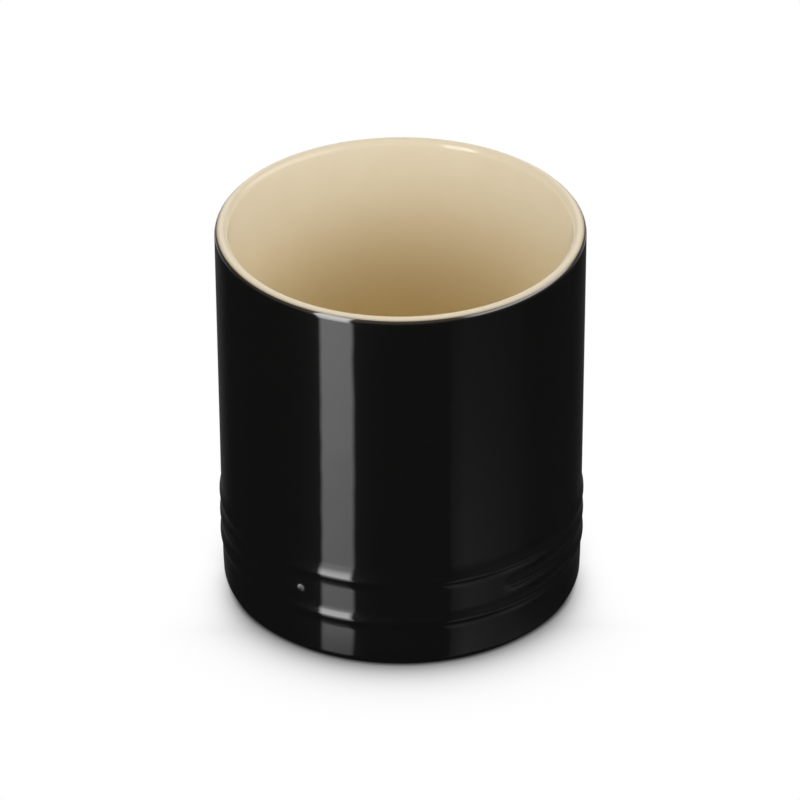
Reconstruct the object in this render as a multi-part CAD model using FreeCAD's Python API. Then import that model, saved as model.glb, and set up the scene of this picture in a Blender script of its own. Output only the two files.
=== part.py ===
import FreeCAD, Part
import math
import os

# A straight-walled stoneware crock: a fired clay body and its three coats of glaze, one solid each.
# Lengths are in millimetres, angles in degrees. The crock stands on z = 0 with its axis on Z, and its front,
# where the middle ring stops for a bare panel, faces -Y.

# Overall form, with a wall that narrows by its taper from the lip down to a waist just above the rings
outer_diameter = 160.0
height = 175.0
wall_thickness = 5.8
wall_taper = 0.25
floor_thickness = 7.0
inner_corner_radius = 14.0

# Coats of glaze
glaze_thickness = 0.4
glaze_break_angle = 48.0
glaze_foot_angle = 60.0

# Band under the rings, and foot
base_inset = 0.1
base_band_radius = 325.0
foot_edge_radius = 3.6
foot_land_width = 5.0
foot_inner_edge_radius = 1.0
recess_cove_radius = 1.5

# Raised rings near the base
ring_count = 3
lowest_ring_z = 22.5
ring_pitch = 10.2
ring_proud = 0.8
ring_crest_radius = 4.2
top_flank_radius = 30.0

# Bare panel that interrupts the middle ring
panel_half_angle = 31.8
panel_proud = 0.02

# Ends of neighbouring path items that are nearer than this are one point
same_point = 0.001

# Sizes that follow from those above
outer_radius = outer_diameter / 2
inner_radius = outer_radius - wall_thickness
lip_radius = wall_thickness / 2
waist_radius = outer_radius - wall_taper
base_radius = waist_radius - base_inset
recess_depth = foot_inner_edge_radius + recess_cove_radius
floor_top = recess_depth + floor_thickness
half_pitch = ring_pitch / 2
middle_ring_z = lowest_ring_z + ring_pitch
panel_radius = waist_radius + panel_proud

# Neighbouring rings run into each other at the level of the waist, half a pitch from each crest
flank_radius = (half_pitch**2 + ring_proud**2) / (2 * ring_proud) - ring_crest_radius

# The band under the lowest ring curves in until the rounded edge of the foot takes over
lowest_drop = ring_proud + base_inset
band_top_z = lowest_ring_z - math.sqrt(lowest_drop * (2 * (ring_crest_radius + flank_radius) - lowest_drop))
band_to_edge = base_band_radius - foot_edge_radius
band_turn = math.asin((band_top_z - foot_edge_radius) / band_to_edge)
band_angle = math.degrees(band_turn)
land_outer_radius = base_radius - base_band_radius + band_to_edge * math.cos(band_turn)
land_inner_radius = land_outer_radius - foot_land_width

lip_centre = (outer_radius - lip_radius, height - lip_radius)
band_centre = (base_radius - base_band_radius, band_top_z)
foot_centre = (land_outer_radius, foot_edge_radius)
recess_cove_centre = (land_inner_radius - recess_depth, foot_inner_edge_radius)


def corner(r, z):
    """A path item of one point, at distance r from the axis."""
    return [FreeCAD.Vector(r, 0, z)]


def arc(centre, radius, start, stop):
    """A path item of three points on an arc, with angles measured from outward towards up."""
    points = []
    for angle in (start, (start + stop) / 2, stop):
        turn = math.radians(angle)
        points += corner(centre[0] + radius * math.cos(turn), centre[1] + radius * math.sin(turn))
    return points


def backwards(path):
    """The same path run from its end to its start."""
    return [item[::-1] for item in reversed(path)]


def turned(path):
    """Closes a path with straight lines between its items and turns it about the axis."""
    edges = []
    last = path[-1][-1]
    for item in path:
        if not item[0].isEqual(last, same_point):
            edges.append(Part.LineSegment(last, item[0]).toShape())
        if len(item) > 1:
            edges.append(Part.Arc(*item).toShape())
        last = item[-1]
    face = Part.Face(Part.Wire(edges))
    return face.revolve(FreeCAD.Vector(), FreeCAD.Vector(0, 0, 1), 360)


def flank(radius, drop):
    """How far a flank reaches along the wall, and how steep it starts, as it falls from a ring's crest."""
    span = ring_crest_radius + radius
    slope = math.acos((span - drop) / span)
    return span * math.sin(slope), math.degrees(slope)


def ring_path(ring, skin):
    """Lower flank, crest and upper flank of one ring, skin deep under the glazed surface."""
    crest_z = lowest_ring_z + ring * ring_pitch
    low_level = base_radius if ring == 0 else waist_radius
    high_radius = top_flank_radius if ring == ring_count - 1 else flank_radius
    low_reach, low_slope = flank(flank_radius, waist_radius + ring_proud - low_level)
    high_reach, high_slope = flank(high_radius, ring_proud)
    crest_centre = (waist_radius + ring_proud - ring_crest_radius, crest_z)
    low_centre = (low_level + flank_radius, crest_z - low_reach)
    high_centre = (waist_radius + high_radius, crest_z + high_reach)
    return [
        arc(low_centre, flank_radius + skin, 180, 180 - low_slope),
        arc(crest_centre, ring_crest_radius - skin, -low_slope, high_slope),
        arc(high_centre, high_radius + skin, 180 + high_slope, 180),
    ]


def outer_path(skin):
    """Outside from the end of the glaze at the foot, up band, rings and wall, to the break on the lip."""
    path = [
        arc(foot_centre, foot_edge_radius - skin, -glaze_foot_angle, -band_angle),
        arc(band_centre, base_band_radius - skin, -band_angle, 0),
    ]
    for ring in range(ring_count):
        path += ring_path(ring, skin)
    path.append(arc(lip_centre, lip_radius - skin, 0, glaze_break_angle))
    return path


def inner_path(skin):
    """From the break on the lip over the crown, down the inside and across the floor to the axis."""
    corner_centre = (inner_radius - inner_corner_radius, floor_top + inner_corner_radius)
    return [
        arc(lip_centre, lip_radius - skin, glaze_break_angle, 180),
        arc(corner_centre, inner_corner_radius + skin, 0, -90),
        corner(0, floor_top - skin),
    ]


def under_path(skin):
    """From the axis across the recess under the floor and down the cove inside the foot ring."""
    return [
        corner(0, recess_depth + skin),
        arc(recess_cove_centre, recess_cove_radius + skin, 90, 0),
    ]


def foot_path():
    """The bare foot ring: its inner edge, the land that it stands on, and its outer edge up to the glaze."""
    inner_edge_centre = (land_inner_radius, foot_inner_edge_radius)
    return [
        arc(inner_edge_centre, foot_inner_edge_radius, 180, 270),
        arc(foot_centre, foot_edge_radius, -90, -glaze_foot_angle),
    ]


def at_bearing(radius, bearing):
    """A point at a bearing from the front, at the height where the middle ring begins."""
    turn = math.radians(bearing)
    return FreeCAD.Vector(radius * math.sin(turn), -radius * math.cos(turn), middle_ring_z - half_pitch)


def cove_bearing(radius, skin):
    """Where the cove at the end of the panel has risen to a radius."""
    reach = panel_radius + flank_radius
    cosine = (radius**2 + reach**2 - (flank_radius + skin) ** 2) / (2 * radius * reach)
    return panel_half_angle + math.degrees(math.acos(cosine))


def panel_cut(skin):
    """What is taken off the middle ring in front, with ends that rise in the curve of the ring's flanks."""
    low = panel_radius - skin
    high = waist_radius + 2 * ring_proud
    middle = (low + high) / 2
    rise, end = cove_bearing(middle, skin), cove_bearing(high, skin)
    arcs = [
        (at_bearing(low, -panel_half_angle), at_bearing(low, 0), at_bearing(low, panel_half_angle)),
        (at_bearing(low, panel_half_angle), at_bearing(middle, rise), at_bearing(high, end)),
        (at_bearing(high, end), at_bearing(high, 0), at_bearing(high, -end)),
        (at_bearing(high, -end), at_bearing(middle, -rise), at_bearing(low, -panel_half_angle)),
    ]
    face = Part.Face(Part.Wire([Part.Arc(*points).toShape() for points in arcs]))
    return face.extrude(FreeCAD.Vector(0, 0, ring_pitch))


def stoneware_body():
    """The fired clay, one coat smaller than the glazed crock everywhere but on its bare foot ring."""
    skin = glaze_thickness
    path = outer_path(skin) + inner_path(skin) + under_path(skin) + foot_path()
    return turned(path).cut(panel_cut(skin))


def exterior_glaze(body):
    """The dark coat: the outside form down to the middle of the wall, less the clay in it."""
    blank = turned(outer_path(0) + [corner(*lip_centre), corner(*foot_centre)])
    return blank.cut(panel_cut(0)).cut(body)


def interior_glaze():
    """The pale coat on the inside and over the lip."""
    return turned(inner_path(0) + backwards(inner_path(glaze_thickness)))


def base_glaze():
    """The dark coat in the recess under the floor."""
    return turned(under_path(0) + backwards(under_path(glaze_thickness)))


def main():
    body = stoneware_body()
    nodes = {
        "stoneware_body": body,
        "exterior_glaze": exterior_glaze(body),
        "interior_glaze": interior_glaze(),
        "base_glaze": base_glaze(),
    }
    os.makedirs("parts", exist_ok=True)
    for node, shape in nodes.items():
        shape.exportStep(f"parts/{node}.step")
        print(node, shape.isValid(), len(shape.Solids), "solids", round(shape.Volume), "mm3")


main()
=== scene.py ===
import math

import bmesh
import bpy
import numpy as np
from mathutils import Matrix, Vector


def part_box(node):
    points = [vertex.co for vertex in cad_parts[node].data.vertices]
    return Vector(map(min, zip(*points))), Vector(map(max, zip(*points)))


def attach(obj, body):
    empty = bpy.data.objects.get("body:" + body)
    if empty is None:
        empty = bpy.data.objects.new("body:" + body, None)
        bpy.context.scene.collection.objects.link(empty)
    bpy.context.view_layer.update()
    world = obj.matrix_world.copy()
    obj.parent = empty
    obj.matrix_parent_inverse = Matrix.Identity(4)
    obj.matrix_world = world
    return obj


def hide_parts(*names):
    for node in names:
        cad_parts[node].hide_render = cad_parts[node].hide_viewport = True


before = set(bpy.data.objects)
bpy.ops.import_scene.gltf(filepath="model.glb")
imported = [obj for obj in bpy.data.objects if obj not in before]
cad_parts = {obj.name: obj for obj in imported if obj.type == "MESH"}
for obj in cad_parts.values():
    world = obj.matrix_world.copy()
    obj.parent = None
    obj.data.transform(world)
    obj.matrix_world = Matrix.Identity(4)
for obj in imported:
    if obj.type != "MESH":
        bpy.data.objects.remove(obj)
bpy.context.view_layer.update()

# A glazed stoneware crock on a white floor. Lengths are in metres, angles in degrees, and bearings are
# measured from the front, -Y, towards +X.

# Sizes read from the frame
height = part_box("interior_glaze")[1].z
crest_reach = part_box("exterior_glaze")[1].x

# Wall, lip and floor
wall_thickness = 0.0058
wall_taper = 0.00025
floor_top = 0.0095
inner_corner_radius = 0.014
glaze_thickness = 0.0004
glaze_break_angle = 48.0
glaze_foot_angle = 60.0

# Raised rings near the base, and the bare panel that interrupts the middle one
ring_proud = 0.0008
ring_crest_radius = 0.0042
ring_pitch = 0.0102
low_ring_z = 0.0225
top_flank_radius = 0.03
panel_half_angle = 31.8

# Band under the rings, and foot
base_inset = 0.0001
base_band_radius = 0.325
foot_edge_radius = 0.0036
foot_land_width = 0.005
foot_inner_edge_radius = 0.001
recess_cove_radius = 0.0015

# Sizes that follow
waist_radius = crest_reach - ring_proud
wall_radius = waist_radius + wall_taper
inner_radius = wall_radius - wall_thickness
lip_radius = wall_thickness / 2
base_radius = waist_radius - base_inset
half_pitch = ring_pitch / 2
middle_ring_z = low_ring_z + ring_pitch
top_ring_z = middle_ring_z + ring_pitch
top_span = ring_crest_radius + top_flank_radius
flare_top_z = top_ring_z + math.sqrt(ring_proud * (2 * top_span - ring_proud))
flank_radius = (half_pitch**2 + ring_proud**2) / (2 * ring_proud) - ring_crest_radius
nose_bearing = math.radians(panel_half_angle) + half_pitch / waist_radius
low_span = ring_crest_radius + flank_radius
low_drop = ring_proud + base_inset
band_top_z = low_ring_z - math.sqrt(low_drop * (2 * low_span - low_drop))
band_to_edge = base_band_radius - foot_edge_radius
band_turn = math.asin((band_top_z - foot_edge_radius) / band_to_edge)
land_outer_radius = base_radius - base_band_radius + band_to_edge * math.cos(band_turn)
land_inner_radius = land_outer_radius - foot_land_width
recess_depth = foot_inner_edge_radius + recess_cove_radius
lip_centre = (wall_radius - lip_radius, height - lip_radius)
band_centre = (base_radius - base_band_radius, band_top_z)
foot_centre = (land_outer_radius, foot_edge_radius)

# Mesh density: points round the axis and along each arc, and steps along the straights
bearing_count = 480
foot_edge_count = 14
band_count = 24
outer_lip_count = 18
inner_lip_count = 40
inner_corner_count = 28
recess_cove_count = 14
foot_ring_count = 10
ring_step = 0.0003
wall_step = 0.006
sharp_angle = 50.0

bearings = np.linspace(0, 2 * math.pi, bearing_count, endpoint=False)
front_bearings = np.minimum(bearings, 2 * math.pi - bearings)

# Relief of the glaze and the clay: how tall it is, and how fine, in waves to the metre
wave_height = 0.00012
wave_fineness = 36.0
ripple_height = 0.000012
ripple_fineness = 110.0
peel_height = 0.0000006
peel_fineness = 520.0
grain_height = 0.00008
grain_fineness = 900.0

# Angles on the lip where the dark coat starts to thin, and where the cream has its full strength
dark_thin_angle = 8.0
cream_full_angle = 68.0

# Heights on the inside between which the cream turns to a painted warmer, deeper tone for light bounced in
# the hollow
bounce_shade_start_z = 0.16
bounce_shade_full_z = 0.06

glaze_ior = 1.5
white = (1, 1, 1, 1)

# Shadow on the floor, partly painted: how far it reaches in front, where it starts to fade towards the sides,
# how it fades, and the painted dark contact shadow under the edge of the foot, with stops (y, reach) that
# follow the edge
shadow_reach = 0.011
shadow_power = 1.15
shadow_front_y = -0.05
side_haste = 2.4
side_loss = 1.43
contact_radius = 0.077
clear_radius = 0.0797
contact_stops = [(-0.06, 0.0003), (-0.04, 0.0008), (-0.033, 0.0008), (-0.015, 0)]
floor_reach = 8.0

# Cards that light the glaze: distances from the axis, and heights at which the sides of a card bend
card_distance = 1.5
near_card_distance = 0.58
low_bend_z = -0.88
left_bend_z = 0.05
right_bend_z = 0.6

# Camera, with its lens in millimetres
camera_bearing = -0.8
camera_elevation = 31.9
camera_roll = -0.24
camera_distance = 2.314
camera_target = Vector((-0.0005, 0, 0.08655))
lens_mm = 237.6
sensor_mm = 36.0


def arc(centre, radius, start, stop, count):
    """Points (r, z) along an arc, with angles measured from outward towards up."""
    turn = np.radians(np.linspace(start, stop, count))
    return np.stack([centre[0] + radius * np.cos(turn), centre[1] + radius * np.sin(turn)], 1)


def line(start, stop, step):
    """Points (r, z) between two points, without the two."""
    count = max(2, round(math.dist(start, stop) / step))
    shares = np.linspace(0, 1, count + 1)[1:-1, None]
    return np.array(start) * (1 - shares) + np.array(stop) * shares


def around(r, z):
    """Turns radii and heights about the axis, with a radius for every bearing or one for all."""
    r = np.broadcast_to(r, (len(z), bearing_count))
    return np.stack([r * np.sin(bearings), -r * np.cos(bearings), np.broadcast_to(z, r.shape)], 2)


def turned(points):
    """Turns points (r, z) about the axis."""
    return around(points[:, :1], points[:, 1:])


def ring_height(distance, drop, flank):
    """Height of a raised ring at a distance from its crest: a round crest between hollow flanks."""
    span = ring_crest_radius + flank
    slope = math.acos((span - drop) / span)
    turn = ring_crest_radius * math.sin(slope)
    crest = drop - ring_crest_radius + np.sqrt(ring_crest_radius**2 - np.minimum(distance, turn) ** 2)
    left = np.clip(span * math.sin(slope) - distance, 0, flank)
    return np.where(distance < turn, crest, flank - np.sqrt(flank**2 - left**2))


def ringed_radius(z):
    """Radius of the glazed wall at heights z, for every bearing: three rings, the middle one cut short."""
    top_distance, low_distance = np.abs(z - top_ring_z), np.abs(z - low_ring_z)
    above_top = ring_height(top_distance, ring_proud, top_flank_radius)
    below_top = ring_height(top_distance, ring_proud, flank_radius)
    above_low = ring_height(low_distance, ring_proud, flank_radius)
    below_low = ring_height(low_distance, low_drop, flank_radius) - base_inset
    top = np.where(z > top_ring_z, above_top, below_top)
    low = np.where(z > low_ring_z, above_low, below_low)
    past_end = np.clip(nose_bearing - front_bearings, 0, None) * waist_radius
    middle = ring_height(np.hypot(z - middle_ring_z, past_end), ring_proud, flank_radius)
    rise_shares = np.clip((z - flare_top_z) / (lip_centre[1] - flare_top_z), 0, 1)
    return waist_radius + wall_taper * rise_shares + top + middle + low


def outside(skin):
    """The outside from the end of the glaze at the foot to the break on the lip, skin deep."""
    band_angle = math.degrees(band_turn)
    foot_edge = arc(foot_centre, foot_edge_radius - skin, -glaze_foot_angle, -band_angle, foot_edge_count)
    band = arc(band_centre, base_band_radius - skin, -band_angle, 0, band_count)[1:]
    rings_z = np.arange(band_top_z + ring_step, flare_top_z, ring_step)
    wall_z = np.arange(flare_top_z, lip_centre[1] - wall_step / 2, wall_step)
    z = np.concatenate([rings_z, wall_z])[:, None]
    wall = around(ringed_radius(z) - skin, z)
    lip = arc(lip_centre, lip_radius - skin, 0, glaze_break_angle, outer_lip_count)
    return np.concatenate([turned(foot_edge), turned(band), wall, turned(lip)])


def inside(skin):
    """The inside from the break on the lip over the crown and down to the middle of the floor, skin deep."""
    corner_centre = (inner_radius - inner_corner_radius, floor_top + inner_corner_radius)
    lip = arc(lip_centre, lip_radius - skin, glaze_break_angle, 180, inner_lip_count)
    corner = arc(corner_centre, inner_corner_radius + skin, 0, -90, inner_corner_count)
    wall = line(lip[-1], corner[0], wall_step)
    floor = line(corner[-1], (0, floor_top - skin), wall_step)
    return turned(np.concatenate([lip, wall, corner, floor]))


def under(skin):
    """The recess under the floor, from the middle to the cove inside the foot ring, skin deep."""
    cove_centre = (land_inner_radius - recess_depth, foot_inner_edge_radius)
    cove = arc(cove_centre, recess_cove_radius + skin, 90, 0, recess_cove_count)
    return turned(np.concatenate([line((0, recess_depth + skin), cove[0], wall_step), cove]))


def foot_ring():
    """The bare foot ring, from the recess over the land to the end of the glaze outside."""
    inner_edge_centre = (land_inner_radius, foot_inner_edge_radius)
    inner_edge = arc(inner_edge_centre, foot_inner_edge_radius, 180, 270, foot_ring_count)
    outer_edge = arc(foot_centre, foot_edge_radius, -90, -glaze_foot_angle, foot_ring_count)
    land = line(inner_edge[-1], outer_edge[0], foot_inner_edge_radius)
    return turned(np.concatenate([inner_edge, land, outer_edge]))


def piece(node, rows, material, on_axis=False):
    """A closed mesh through rows of points, joined last to first, or closed at the axis at both ends."""
    index = np.arange(len(rows) * bearing_count).reshape(len(rows), bearing_count)
    low = index[:-1] if on_axis else index
    high = index[1:] if on_axis else np.roll(index, -1, 0)
    faces = np.stack([low, np.roll(low, -1, 1), np.roll(high, -1, 1), high], 2).reshape(-1, 4).tolist()
    points = rows.reshape(-1, 3).tolist()
    if on_axis:
        for end in (0, -1):
            points.append((0, 0, float(rows[end, 0, 2])))
            pole = len(points) - 1
            rim = index[end].tolist()
            faces += [(a, b, pole) for a, b in zip(rim, rim[1:] + rim[:1])]
    mesh = bpy.data.meshes.new(node)
    mesh.from_pydata(points, [], faces)
    work = bmesh.new()
    work.from_mesh(mesh)
    bmesh.ops.recalc_face_normals(work, faces=work.faces)
    work.to_mesh(mesh)
    work.free()
    mesh.shade_smooth()
    mesh.set_sharp_from_angle(angle=math.radians(sharp_angle))
    mesh.materials.append(material)
    made = bpy.data.objects.new(node + "_finish", mesh)
    bpy.context.scene.collection.objects.link(made)
    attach(made, "root")
    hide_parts(node)


def add_node(tree, kind, inputs=None, **settings):
    """A node with its settings and inputs: a socket is linked to its input, anything else is set."""
    made = tree.nodes.new(kind)
    for name, value in settings.items():
        setattr(made, name, value)
    for name, value in (inputs or {}).items():
        if isinstance(value, bpy.types.NodeSocket):
            tree.links.new(value, made.inputs[name])
        else:
            made.inputs[name].default_value = value
    return made


def math_node(tree, operation, *values):
    """The result of a sum on sockets or numbers."""
    return add_node(tree, "ShaderNodeMath", dict(enumerate(values)), operation=operation).outputs[0]


def product(tree, first, *others):
    """Sockets or numbers multiplied together."""
    for other in others:
        first = math_node(tree, "MULTIPLY", first, other)
    return first


def squared(tree, value):
    """A value times itself."""
    return math_node(tree, "POWER", value, 2.0)


def ramp(tree, value, low, high, low_result=0.0, high_result=1.0, smooth=False):
    """Maps a value from one range to another, and holds it there."""
    ranges = {"Value": value, "From Min": low, "From Max": high}
    ranges |= {"To Min": low_result, "To Max": high_result}
    interpolation = "SMOOTHSTEP" if smooth else "LINEAR"
    made = add_node(tree, "ShaderNodeMapRange", ranges, interpolation_type=interpolation)
    return made.outputs["Result"]


def curve(tree, value, stops):
    """A value read off straight lines between stops (value, result)."""
    places, results = zip(*stops)
    first, last, peak = places[0], places[-1], max(results)
    made = add_node(tree, "ShaderNodeValToRGB", {"Fac": ramp(tree, value, first, last)})
    elements = made.color_ramp.elements
    for place in places[1:-1]:
        elements.new((place - first) / (last - first))
    for element, result in zip(elements, results):
        element.color = (result / peak, result / peak, result / peak, 1)
    return product(tree, made.outputs["Color"], peak)


def blend(tree, share, first, second):
    """A colour between two."""
    return add_node(tree, "ShaderNodeMix", {0: share, 6: first, 7: second}, data_type="RGBA").outputs[2]


def noise(tree, position, fineness, detail=2.0, roughness=0.5):
    """Soft noise from 0 to 1, so fine to the metre."""
    settings = {"Vector": position, "Scale": fineness, "Detail": detail, "Roughness": roughness}
    return add_node(tree, "ShaderNodeTexNoise", settings).outputs["Fac"]


def mottle(tree, position, fineness, results=(0.0, 1.0), detail=2.0):
    """Soft noise whose usual range is stretched over two results."""
    usual_shares = (0.3, 0.7)
    return ramp(tree, noise(tree, position, fineness, detail), *usual_shares, *results)


def bump(tree, height_value, distance, normal=None):
    """A normal bent by a height from 0 to 1 times a distance."""
    settings = {"Height": height_value, "Distance": distance, "Strength": 1.0}
    if normal is not None:
        settings["Normal"] = normal
    return add_node(tree, "ShaderNodeBump", settings).outputs["Normal"]


def new_material(name):
    """An empty node material, with its tree, its output and the position on the object."""
    material = bpy.data.materials.new(name)
    material.use_nodes = True
    tree = material.node_tree
    tree.nodes.clear()
    surface = add_node(tree, "ShaderNodeOutputMaterial").inputs["Surface"]
    return material, tree, surface, add_node(tree, "ShaderNodeTexCoord").outputs["Object"]


def split(tree, vector):
    """The three parts of a vector."""
    return add_node(tree, "ShaderNodeSeparateXYZ", {"Vector": vector}).outputs


def lip_reach(angle):
    """How far out and how far up a point of the lip lies at an angle from straight outward."""
    turn = math.radians(angle)
    return lip_centre[0] + lip_radius * math.cos(turn), lip_centre[1] + lip_radius * math.sin(turn)


def length(tree, vector):
    """The length of a vector."""
    made = add_node(tree, "ShaderNodeVectorMath", {0: vector}, operation="LENGTH")
    return made.outputs["Value"]


def axis_distance(tree, position):
    """Distance from the axis."""
    flat = add_node(tree, "ShaderNodeVectorMath", {0: position, 1: (1, 1, 0)}, operation="MULTIPLY")
    return length(tree, flat.outputs[0])


def glaze_bump(tree, position):
    """The slow waves, the ripples and the fine orange peel of a fired glaze."""
    waves = bump(tree, noise(tree, position, wave_fineness, detail=1.0), wave_height)
    ripples = bump(tree, noise(tree, position, ripple_fineness, detail=1.0), ripple_height, waves)
    return bump(tree, noise(tree, position, peel_fineness), peel_height, ripples)


def set_shader(tree, surface, settings):
    """Puts a shader with its settings on the surface."""
    shader = add_node(tree, "ShaderNodeBsdfPrincipled", settings)
    tree.links.new(shader.outputs["BSDF"], surface)


def dark_glaze():
    """Glossy black, a little brown where the coat thins out towards the lip."""
    black = (0.0047, 0.0047, 0.0047, 1)
    warm_black = (0.0056, 0.0055, 0.0052, 1)
    thin_brown = (0.04, 0.028, 0.018, 1)
    mottle_fineness = 90.0
    gloss_fineness = 140.0
    roughness_shares = (0.03, 0.055)
    material, tree, surface, position = new_material("dark_glaze")
    thin_z, break_z = lip_reach(dark_thin_angle)[1], lip_reach(glaze_break_angle)[1]
    thin = ramp(tree, split(tree, position)["Z"], thin_z, break_z, smooth=True)
    deep = blend(tree, noise(tree, position, mottle_fineness), black, warm_black)
    colour = blend(tree, thin, deep, thin_brown)
    gloss = mottle(tree, position, gloss_fineness, roughness_shares)
    settings = {"Base Color": colour, "Roughness": gloss, "IOR": glaze_ior}
    settings |= {"Normal": glaze_bump(tree, position), "Coat Weight": 0.085, "Coat Roughness": 0.28}
    set_shader(tree, surface, settings)
    return material


def cream_glaze():
    """Glossy cream, faintly mottled, with painted bounce shade that makes it warmer and deeper down the
    inside, painted shade that darkens the crown of the lip, and darker towards the break on the lip.
    """
    pale_cream = (0.893, 0.803, 0.62, 1)
    palest_cream = (0.912, 0.827, 0.65, 1)
    # Painted shade tones: a warmer, deeper cream for light bounced low in the hollow, and a darker cream for
    # the crown of the lip
    bounce_shaded_cream = (0.965, 0.80, 0.475, 1)
    crown_shaded_cream = (0.875, 0.75, 0.545, 1)
    break_cream = (0.42, 0.36, 0.27, 1)
    mottle_fineness = 60.0
    gloss_fineness = 120.0
    roughness_shares = (0.035, 0.06)
    material, tree, surface, position = new_material("cream_glaze")
    mottling = mottle(tree, position, mottle_fineness, detail=4.0)
    z = split(tree, position)["Z"]
    # Painted bounce shade: lower down the inside the cream turns warmer and deeper, standing for light
    # bounced in the hollow
    deep = ramp(tree, z, bounce_shade_start_z, bounce_shade_full_z)
    # Painted shade: the crown of the lip, which faces the light from above, takes a darker tone
    crown = ramp(tree, z, lip_centre[1], height)
    pale = blend(tree, mottling, pale_cream, palest_cream)
    full = blend(tree, deep, pale, bounce_shaded_cream)
    full = blend(tree, crown, full, crown_shaded_cream)
    # Darker towards the break on the lip
    break_reach, full_reach = lip_reach(glaze_break_angle)[0], lip_reach(cream_full_angle)[0]
    full_cream_share = ramp(tree, axis_distance(tree, position), full_reach, break_reach, 1.0, 0.0)
    colour = blend(tree, full_cream_share, break_cream, full)
    gloss = mottle(tree, position, gloss_fineness, roughness_shares)
    settings = {"Base Color": colour, "Roughness": gloss, "IOR": glaze_ior}
    settings |= {"Normal": glaze_bump(tree, position), "Specular IOR Level": 0.24}
    set_shader(tree, surface, settings)
    return material


def bare_stoneware():
    """Dry buff clay with fine grain and dark specks."""
    dark_clay = (0.40, 0.31, 0.21, 1)
    light_clay = (0.66, 0.56, 0.42, 1)
    speck_brown = (0.16, 0.11, 0.07, 1)
    speck_fineness = 1500.0
    speck_shares = (0.66, 0.72)
    grain_shares = (0.2, 0.8)
    roughness_shares = (0.75, 0.95)
    material, tree, surface, position = new_material("bare_stoneware")
    grain = noise(tree, position, grain_fineness, detail=6.0, roughness=0.65)
    clay = blend(tree, grain, dark_clay, light_clay)
    specks = ramp(tree, noise(tree, position, speck_fineness, detail=1.0), *speck_shares)
    colour = blend(tree, specks, clay, speck_brown)
    dryness = ramp(tree, grain, *grain_shares, *roughness_shares)
    settings = {"Base Color": colour, "Roughness": dryness, "Normal": bump(tree, grain, grain_height)}
    set_shader(tree, surface, settings)
    return material


def build_crock():
    """The clay and its three coats, each standing for its CAD node."""
    dark, cream, clay = dark_glaze(), cream_glaze(), bare_stoneware()
    skin = glaze_thickness
    body = np.concatenate([inside(skin)[::-1], outside(skin)[::-1], foot_ring()[::-1], under(skin)[::-1]])
    outer_coat = np.concatenate([outside(0), outside(skin)[::-1]])
    inner_coat = np.concatenate([inside(0)[::-1], inside(skin)])
    under_coat = np.concatenate([under(0), under(skin)[::-1]])
    piece("stoneware_body", body, clay, on_axis=True)
    piece("exterior_glaze", outer_coat, dark)
    piece("interior_glaze", inner_coat, cream, on_axis=True)
    piece("base_glaze", under_coat, dark, on_axis=True)


def stage_plane(name, corners, material, place):
    """A flat piece of the stage."""
    mesh = bpy.data.meshes.new(name)
    mesh.from_pydata(corners, [], [range(len(corners))])
    mesh.materials.append(material)
    made = bpy.data.objects.new(name, mesh)
    made.matrix_world = place
    bpy.context.scene.collection.objects.link(made)
    return made


def white_seen(tree, path):
    """1 for what the camera sees, straight or through something clear, and 0 for all other light."""
    return math_node(tree, "MAXIMUM", path["Is Camera Ray"], path["Is Transmission Ray"])


def floor_shade(tree, r, y):
    """The shadow round the foot: a painted share, strongest in front and lost with distance and towards the
    sides, of where the grey matt floor with its real shading shows instead of the white glow.
    """
    side = ramp(tree, y, shadow_front_y, 0.0)
    gap = math_node(tree, "MAXIMUM", math_node(tree, "SUBTRACT", r, wall_radius), 0.0)
    away = math_node(tree, "POWER", math_node(tree, "DIVIDE", gap, shadow_reach), shadow_power)
    away = product(tree, away, math_node(tree, "MULTIPLY_ADD", side, side_haste, 1.0))
    lost = math_node(tree, "MULTIPLY_ADD", product(tree, side, side), side_loss, away)
    return math_node(tree, "EXPONENT", product(tree, lost, -1.0))


def build_floor():
    """A floor that is white to the camera but for the shadow, partly real shading of the grey matt floor and
    partly painted by a share, and the painted dark contact shadow under the foot, and that the glaze doesn't
    mirror."""
    # Painted contact shadow: a near-black grey under the edge of the foot
    painted_contact_shadow_grey = (0.015, 0.015, 0.015, 1)
    floor_grey = (0.62, 0.62, 0.62, 1)
    material, tree, surface, position = new_material("floor")
    y = split(tree, position)["Y"]
    r = length(tree, position)
    shade = floor_shade(tree, r, y)
    near = math_node(tree, "SUBTRACT", r, curve(tree, y, contact_stops))
    clear = ramp(tree, near, contact_radius, clear_radius)
    painted_contact_tone = blend(tree, clear, painted_contact_shadow_grey, floor_grey)
    path = add_node(tree, "ShaderNodeLightPath").outputs
    # Painted shadow: near the foot the grey matt floor shows with its real shading, and further out a white
    # glow takes over
    painted_light_share = math_node(tree, "SUBTRACT", 1.0, shade)
    white_share = product(tree, painted_light_share, white_seen(tree, path), clear)
    matt = add_node(tree, "ShaderNodeBsdfDiffuse", {"Color": painted_contact_tone}).outputs["BSDF"]
    glow = add_node(tree, "ShaderNodeEmission", {"Color": white, "Strength": 1.0}).outputs["Emission"]
    mixed = add_node(tree, "ShaderNodeMixShader", {0: white_share, 1: matt, 2: glow}).outputs["Shader"]
    tree.links.new(mixed, surface)
    low, high = -floor_reach, floor_reach
    corners = [(low, low, 0), (high, low, 0), (high, high, 0), (low, high, 0)]
    stage_plane("floor", corners, material, Matrix()).visible_glossy = False


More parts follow.
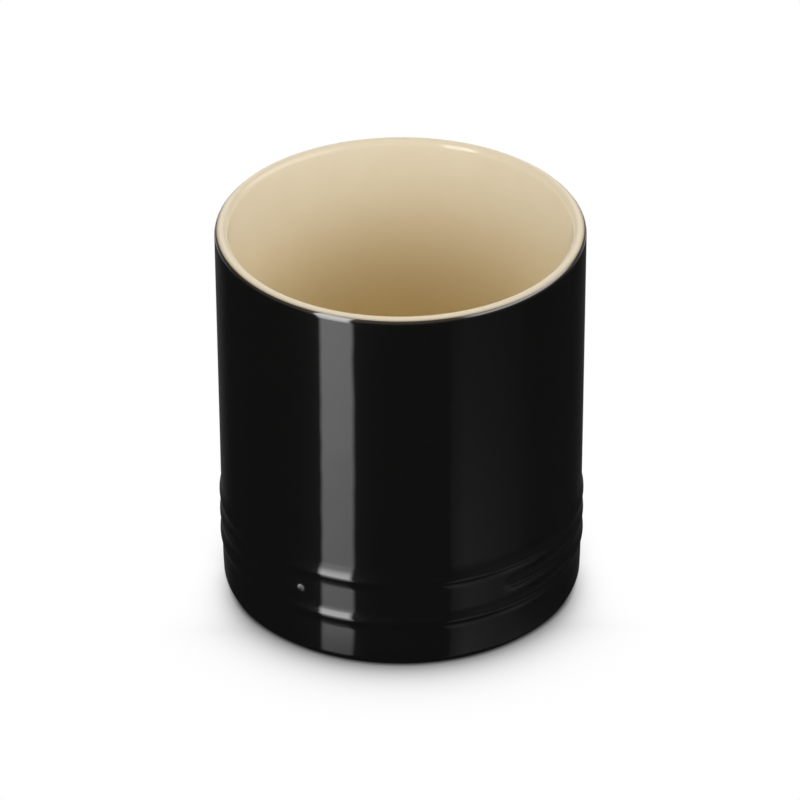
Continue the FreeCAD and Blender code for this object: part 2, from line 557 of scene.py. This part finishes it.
def sky_light(tree, x, y, z):
    """Soft light from all round, strongest at some height. Low down it leans to the front, and higher up to
    the back and both sides."""
    light_stops = [(-0.05, 0.0), (0.0, 0.86), (0.14, 0.97), (0.21, 1.27), (0.36, 1.56), (0.45, 1.5)]
    light_stops += [(0.6, 0.51), (0.8, 0.43), (1.0, 0.0)]
    across_shares = (0.1, 0.4, -0.25, 0.2)
    along_shares = (0.4, 0.62, -0.8, 1.5)
    side_shares = (0.36, 0.55, -0.6, 2.4)
    across = product(tree, x, ramp(tree, z, *across_shares))
    along = product(tree, y, ramp(tree, z, *along_shares))
    sides = product(tree, x, x, ramp(tree, z, *side_shares))
    lean = math_node(tree, "ADD", across, along)
    lean = math_node(tree, "ADD", lean, math_node(tree, "ADD", sides, 1.0))
    return product(tree, curve(tree, z, light_stops), math_node(tree, "MAXIMUM", lean, 0.0))


def mirrored_room(tree, x, y, z):
    """What the glaze shows: a dim room under a paler ceiling, with a faint floor and a pale backdrop
    behind."""
    dim_room = 0.014
    ceiling_shares = (0.15, 0.9, 0.0, 0.55)
    far_floor_stops = [(-0.8, 0.0), (-0.53, 0.06), (-0.34, 0.06), (-0.2, 0.0)]
    far_floor_across_shares = (-0.3, 0.3, 1.1, 0.55)
    far_floor_along_shares = (0.6, 0.85)
    backdrop_stops = [(-0.15, 0.0), (-0.12, 2.6), (-0.05, 3.6), (0.02, 1.0), (0.36, 1.2), (0.45, 1.3)]
    backdrop_stops += [(0.65, 1.3), (0.72, 2.1), (0.83, 2.1), (0.91, 0.4)]
    backdrop_tilt = 0.315
    backdrop_side_shares = (0.02, 0.12, 1.0, 0.3)
    backdrop_along_shares = (0.1, 0.8)
    ceiling = ramp(tree, z, *ceiling_shares)
    far_floor = product(tree, curve(tree, z, far_floor_stops), ramp(tree, x, *far_floor_across_shares))
    far_floor = product(tree, far_floor, squared(tree, ramp(tree, y, *far_floor_along_shares)))
    backdrop = curve(tree, math_node(tree, "MULTIPLY_ADD", y, backdrop_tilt, z), backdrop_stops)
    backdrop = product(tree, backdrop, squared(tree, ramp(tree, y, *backdrop_along_shares)))
    backdrop = product(tree, backdrop, ramp(tree, product(tree, x, x), *backdrop_side_shares))
    behind = math_node(tree, "ADD", far_floor, backdrop)
    return math_node(tree, "MAXIMUM", ceiling, math_node(tree, "ADD", behind, dim_room))


def build_world():
    """The room: white to the camera, a dim room with a pale backdrop to the glaze, soft light to the rest."""
    world = bpy.data.worlds.new("studio")
    world.use_nodes = True
    tree = world.node_tree
    tree.nodes.clear()
    x, y, z = split(tree, add_node(tree, "ShaderNodeTexCoord").outputs["Generated"])
    light, mirrored = sky_light(tree, x, y, z), mirrored_room(tree, x, y, z)
    path = add_node(tree, "ShaderNodeLightPath").outputs
    hidden = add_node(tree, "ShaderNodeMix", {0: path["Is Glossy Ray"], 2: light, 3: mirrored}).outputs[0]
    strength = add_node(tree, "ShaderNodeMix", {0: white_seen(tree, path), 2: hidden, 3: 1.0}).outputs[0]
    sky = add_node(tree, "ShaderNodeBackground", {"Color": white, "Strength": strength})
    output = add_node(tree, "ShaderNodeOutputWorld")
    tree.links.new(sky.outputs["Background"], output.inputs["Surface"])
    bpy.context.scene.world = world


def beam_edge(edge, bearing, distance):
    """Where a card, upright across a bearing, has the point that the wall mirrors at another bearing."""
    turn = math.radians(edge - bearing)
    mirrored = math.radians(2 * edge - camera_bearing - bearing)
    return wall_radius * math.sin(turn) + (distance - wall_radius * math.cos(turn)) * math.tan(mirrored)


def leaned(tree, u, v, bend_z, lean):
    """A place across a card, for a side that leans to the left above a bend."""
    rise = math_node(tree, "MAXIMUM", math_node(tree, "SUBTRACT", v, bend_z), 0.0)
    return math_node(tree, "MULTIPLY_ADD", rise, lean, u)


def side_fades(tree, u, v, left_stops, right_stops, leans):
    """How much of a card's light is left near each side. The four leans are of both sides to the left under
    the low bend, of the left side to the right above it, and of the left and of the right side to the
    left above their own bends."""
    low_lean, left_lean, high_left_lean, high_right_lean = leans
    drop = math_node(tree, "MINIMUM", math_node(tree, "SUBTRACT", v, low_bend_z), 0.0)
    right_u = math_node(tree, "MULTIPLY_ADD", drop, -low_lean, u)
    left_u = leaned(tree, right_u, v, low_bend_z, -left_lean)
    left_u = leaned(tree, left_u, v, left_bend_z, high_left_lean)
    right_u = leaned(tree, right_u, v, right_bend_z, high_right_lean)
    return curve(tree, left_u, left_stops), curve(tree, right_u, right_stops)


def card(name, bearing, left_stops, right_stops, up_stops, distance, leans=(0, 0, 0, 0)):
    """An upright card of light that only the glaze mirrors, and that hides nothing behind it. Its strength
    follows stops (elevation, strength) seen from the crock, and fades at the sides by stops (bearing on the
    wall that mirrors the place, share)."""
    eye_z = height / 2
    gap = distance - wall_radius
    low = eye_z + gap * math.tan(math.radians(up_stops[0][0]))
    high = eye_z + gap * math.tan(math.radians(up_stops[-1][0]))
    left_stops = [(beam_edge(edge, bearing, distance), share) for edge, share in left_stops]
    right_stops = [(beam_edge(edge, bearing, distance), share) for edge, share in right_stops]
    up_stops = [(math.radians(angle), strength) for angle, strength in up_stops]
    material, tree, surface, position = new_material(name)
    u, _, v = split(tree, position)
    away = math_node(tree, "SQRT", math_node(tree, "MULTIPLY_ADD", u, u, gap * gap))
    elevation = math_node(tree, "ARCTAN2", math_node(tree, "SUBTRACT", v, eye_z), away)
    fade_shares = side_fades(tree, u, v, left_stops, right_stops, leans)
    strength = product(tree, curve(tree, elevation, up_stops), *fade_shares)
    glow = add_node(tree, "ShaderNodeEmission", {"Color": white, "Strength": strength}).outputs["Emission"]
    clear = add_node(tree, "ShaderNodeBsdfTransparent").outputs["BSDF"]
    shader = add_node(tree, "ShaderNodeAddShader", {0: glow, 1: clear})
    tree.links.new(shader.outputs["Shader"], surface)
    material.cycles.emission_sampling = "NONE"
    left = left_stops[0][0] - leans[0] * (low_bend_z - low)
    right = right_stops[-1][0]
    corners = [(left, 0, low), (right, 0, low), (right, 0, high), (left, 0, high)]
    place = Matrix.Rotation(math.radians(bearing), 4, "Z") @ Matrix.Translation((0, -distance, 0))
    made = stage_plane(name, corners, material, place)
    made.visible_camera = False
    made.visible_diffuse = False
    made.visible_shadow = False
    made.visible_transmission = False


def strip_card():
    """The tall strip at the left, wider and further to the left at its top."""
    bearing = -40.8
    lefts = [(-27.3, 0), (-25.9, 1)]
    rights = [(-16.5, 1), (-15.1, 0)]
    ups = [(-66, 0), (-60, 0.03), (-52, 0.15), (-45, 0.42), (-40, 1.05), (-36, 1.75), (-34.3, 2.04)]
    ups += [(-33.3, 2.06), (-32.4, 2.36), (-30.8, 2.51), (-29.2, 2.7), (-25, 2.75), (-21, 4.9), (-17, 7.2)]
    ups += [(-13, 7.9), (0, 8.8), (15, 11.0), (30, 12.0), (46, 11.5), (54, 8.0), (60, 0)]
    leans = (0.3, 0.09, 0.255, 0.09)
    card("strip_card", bearing, lefts, rights, ups, card_distance, leans)


def fill_card():
    """The faint near card at the right, strongest low down."""
    bearing = 52.0
    lefts = [(14.2, 0), (15.5, 0.55), (20, 1)]
    rights = [(20, 1), (43, 0)]
    ups = [(-62.5, 0), (-59, 0.1), (-57, 0.155), (-53, 0.26), (-48, 0.25), (-43, 0.22), (-39.5, 0.185)]
    ups += [(-36.7, 0.16), (-34.7, 0.14), (-33, 0.122), (-30.6, 0.099), (-28.4, 0.08), (-23.7, 0.058)]
    ups += [(-20, 0.04), (0, 0.04)]
    card("fill_card", bearing, lefts, rights, ups, near_card_distance)


def side_card():
    """The soft card high at the right, which draws the edge of the lip."""
    bearing = 90.0
    lefts = [(18, 0), (23, 1)]
    rights = [(58, 1), (64, 0)]
    ups = [(-25, 0), (-18, 0.03), (-6, 0.05), (13, 0.2), (18, 2), (22, 5.5), (36, 6), (44, 3), (60, 2)]
    ups += [(65, 0)]
    card("side_card", bearing, lefts, rights, ups, card_distance)


def low_card():
    """The faint card low at the right, which draws the streaks on the rings."""
    bearing = 90.0
    lefts = [(32, 0), (39, 0.7), (43, 1)]
    rights = [(43, 1), (47.6, 0.5), (52.6, 0.25), (58, 0.15), (63, 0)]
    ups = [(-59, 0), (-54, 0.1), (-48, 0.16), (-44, 0.14), (-40, 0.065), (-37, 0.018), (-34.5, 0.012)]
    ups += [(-30, 0)]
    card("low_card", bearing, lefts, rights, ups, card_distance)


def build_cards():
    """The lights that show in the glaze."""
    strip_card()
    fill_card()
    side_card()
    low_card()


def build_camera():
    """A view from in front and above, with the crock turned a touch to the right."""
    bearing = math.radians(camera_bearing)
    elevation = math.radians(camera_elevation)
    right = Vector((math.cos(bearing), math.sin(bearing), 0))
    level_back = Vector((math.sin(bearing), -math.cos(bearing), 0))
    back = level_back * math.cos(elevation) + Vector((0, 0, math.sin(elevation)))
    level = Matrix((right, back.cross(right), back)).transposed()
    camera = bpy.data.objects.new("camera", bpy.data.cameras.new("camera"))
    camera.data.sensor_width = sensor_mm
    camera.data.lens = lens_mm
    turn = (level @ Matrix.Rotation(math.radians(camera_roll), 3, "Z")).to_4x4()
    camera.matrix_world = Matrix.Translation(camera_target + back * camera_distance) @ turn
    bpy.context.scene.collection.objects.link(camera)
    bpy.context.scene.camera = camera


build_crock()
build_floor()
build_world()
build_cards()
build_camera()
bpy.context.scene.view_settings.view_transform = "Standard"
